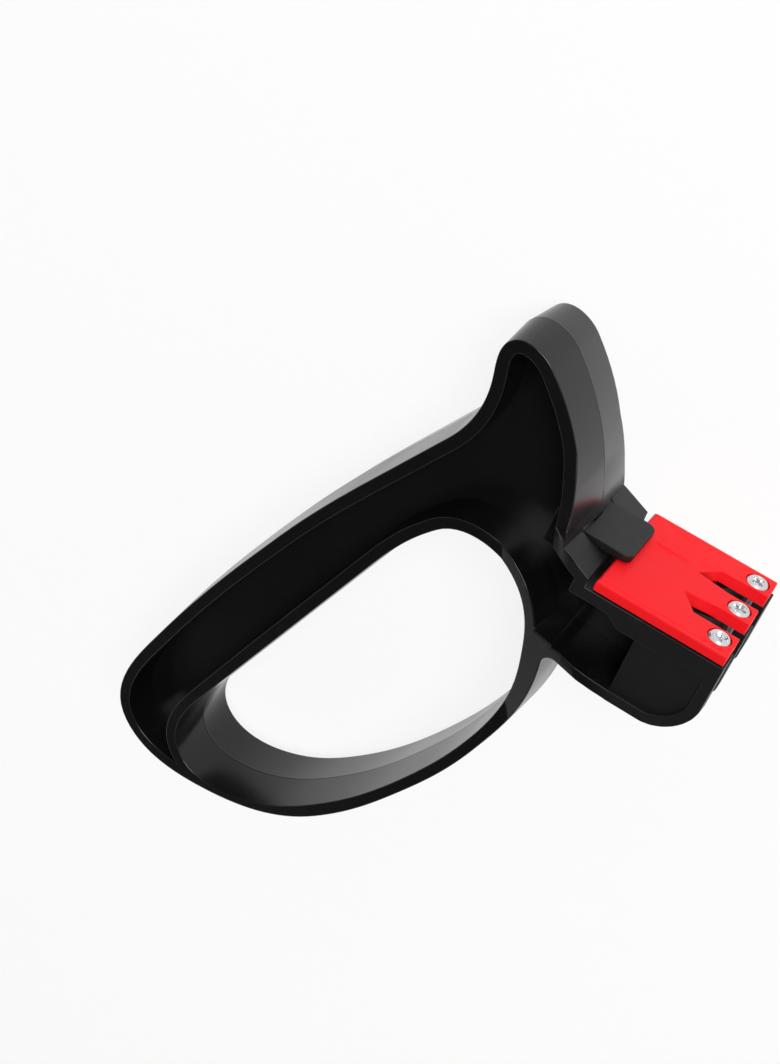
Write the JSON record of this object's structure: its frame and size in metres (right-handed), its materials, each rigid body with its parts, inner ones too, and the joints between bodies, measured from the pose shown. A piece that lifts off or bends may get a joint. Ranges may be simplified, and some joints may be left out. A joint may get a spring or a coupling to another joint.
{
  "type": "knife and scissor sharpener",
  "caption": "Hand-held pull-through sharpener for knives and scissors: loop handle with a thumb fin, and a slotted red cutter head that holds upright sharpening rods.",
  "frame": {"origin": "middle of the bounding box in length and height, on the plane of the far cheek that the sharpener lies on", "axes": "+X along the handle from the butt to the cutter head, +Y up from the finger guard to the thumb fin, +Z across the thickness to the pictured side"},
  "size_m": [0.1468, 0.087, 0.0285],
  "materials": {
    "black_plastic": "satin moulded ABS",
    "red_plastic": "satin moulded ABS",
    "rod_metal": "ground hard metal",
    "spring_steel": "drawn spring steel"
  },
  "bodies": {
    "handle": {"handle_frame": "black_plastic", "latch_pin": "spring_steel", "latch_spring": "spring_steel"},
    "cartridge": {"cutter_plate": "red_plastic", "cutter_carrier": "black_plastic"},
    "rod_near": {"sharpening_rod_near": "rod_metal"},
    "rod_middle": {"sharpening_rod_middle": "rod_metal"},
    "rod_far": {"sharpening_rod_far": "rod_metal"},
    "latch": {"latch_tongue": "black_plastic"}
  },
  "joints": [
    {"name": "cartridge_slide", "type": "slide", "parent": "handle", "child": "cartridge", "axis": [0.7071, -0.7071, 0], "range_m": [0, 0.03]},
    {"name": "rod_near_turn", "type": "hinge", "parent": "cartridge", "child": "rod_near", "pos_m": [0.07144, -0.01614, 0.02485], "axis": [0.7071, 0.7071, 0], "continuous": true},
    {"name": "rod_middle_turn", "type": "hinge", "parent": "cartridge", "child": "rod_middle", "pos_m": [0.07144, -0.01614, 0.01425], "axis": [0.7071, 0.7071, 0], "continuous": true},
    {"name": "rod_far_turn", "type": "hinge", "parent": "cartridge", "child": "rod_far", "pos_m": [0.07144, -0.01614, 0.00365], "axis": [0.7071, 0.7071, 0], "continuous": true},
    {"name": "latch_lift", "type": "hinge", "parent": "handle", "child": "latch", "pos_m": [0.04988, 0.0067, 0.01425], "axis": [0, 0, 1], "range_deg": [0, 8], "stiffness_Nm_per_rad": 0.02, "springref_deg": -2.86}
  ]
}
